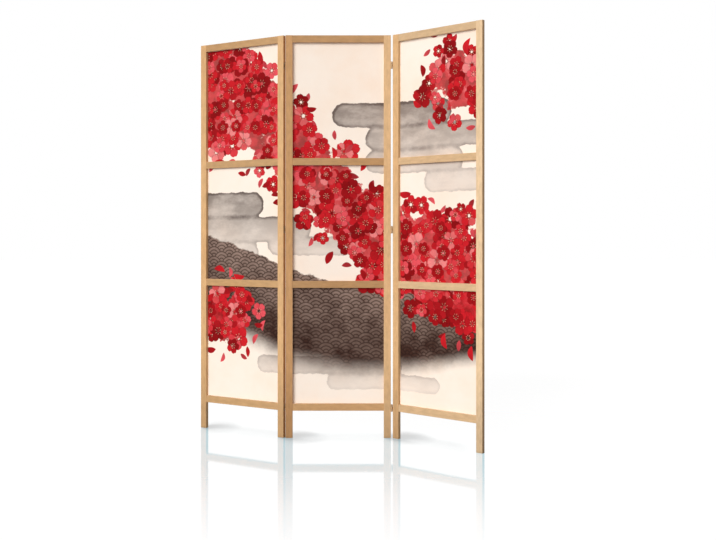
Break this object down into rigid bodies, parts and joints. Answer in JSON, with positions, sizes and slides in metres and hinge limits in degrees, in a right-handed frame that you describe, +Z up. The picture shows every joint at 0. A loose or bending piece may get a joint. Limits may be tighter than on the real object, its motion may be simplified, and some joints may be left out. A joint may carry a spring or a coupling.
{
  "type": "wooden folding screen",
  "caption": "Free-standing Z-fold room divider: hinged softwood frame panels, each with cross rails over a printed cloth sheet, standing on the stiles' feet.",
  "frame": {"origin": "bottom centre of the whole screen's box, on the floor, with the screen folded as it stands", "axes": "+Z up; the front faces -Y, square to the middle panel; +X is the viewer's right"},
  "size_m": [1.211, 0.5326, 1.72],
  "materials": {
    "pine": "clear satin lacquer on softwood",
    "print_fabric": "plain-woven cloth with a matt print",
    "brass": "satin",
    "staple_steel": "zinc-bright wire"
  },
  "bodies": {
    "left_panel": {"left_panel_left_stile": "pine", "left_panel_right_stile": "pine", "left_panel_bottom_rail": "pine", "left_panel_lower_cross_rail": "pine", "left_panel_upper_cross_rail": "pine", "left_panel_top_rail": "pine", "left_panel_print_sheet": "print_fabric", "left_panel_staples": "staple_steel", "left_fold_top_hinge_left_leaf": "brass", "left_fold_middle_hinge_left_leaf": "brass", "left_fold_bottom_hinge_left_leaf": "brass", "left_fold_left_screws": "brass"},
    "middle_panel": {"middle_panel_left_stile": "pine", "middle_panel_right_stile": "pine", "middle_panel_bottom_rail": "pine", "middle_panel_lower_cross_rail": "pine", "middle_panel_upper_cross_rail": "pine", "middle_panel_top_rail": "pine", "middle_panel_print_sheet": "print_fabric", "middle_panel_staples": "staple_steel", "left_fold_top_hinge_middle_leaf": "brass", "left_fold_top_hinge_pin": "brass", "left_fold_middle_hinge_middle_leaf": "brass", "left_fold_middle_hinge_pin": "brass", "left_fold_bottom_hinge_middle_leaf": "brass", "left_fold_bottom_hinge_pin": "brass", "left_fold_middle_screws": "brass", "right_fold_top_hinge_middle_leaf": "brass", "right_fold_top_hinge_pin": "brass", "right_fold_middle_hinge_middle_leaf": "brass", "right_fold_middle_hinge_pin": "brass", "right_fold_bottom_hinge_middle_leaf": "brass", "right_fold_bottom_hinge_pin": "brass", "right_fold_middle_screws": "brass"},
    "right_panel": {"right_panel_left_stile": "pine", "right_panel_right_stile": "pine", "right_panel_bottom_rail": "pine", "right_panel_lower_cross_rail": "pine", "right_panel_upper_cross_rail": "pine", "right_panel_top_rail": "pine", "right_panel_print_sheet": "print_fabric", "right_panel_staples": "staple_steel", "right_fold_top_hinge_right_leaf": "brass", "right_fold_middle_hinge_right_leaf": "brass", "right_fold_bottom_hinge_right_leaf": "brass", "right_fold_right_screws": "brass"}
  },
  "joints": [
    {"name": "left_fold", "type": "hinge", "parent": "middle_panel", "child": "left_panel", "pos_m": [-0.20734, 0.04237, 0.86], "axis": [0, 0, -1], "range_deg": [-30, 150]},
    {"name": "right_fold", "type": "hinge", "parent": "middle_panel", "child": "right_panel", "pos_m": [0.24606, 0.02137, 0.86], "axis": [0, 0, -1], "range_deg": [-40, 140]}
  ]
}
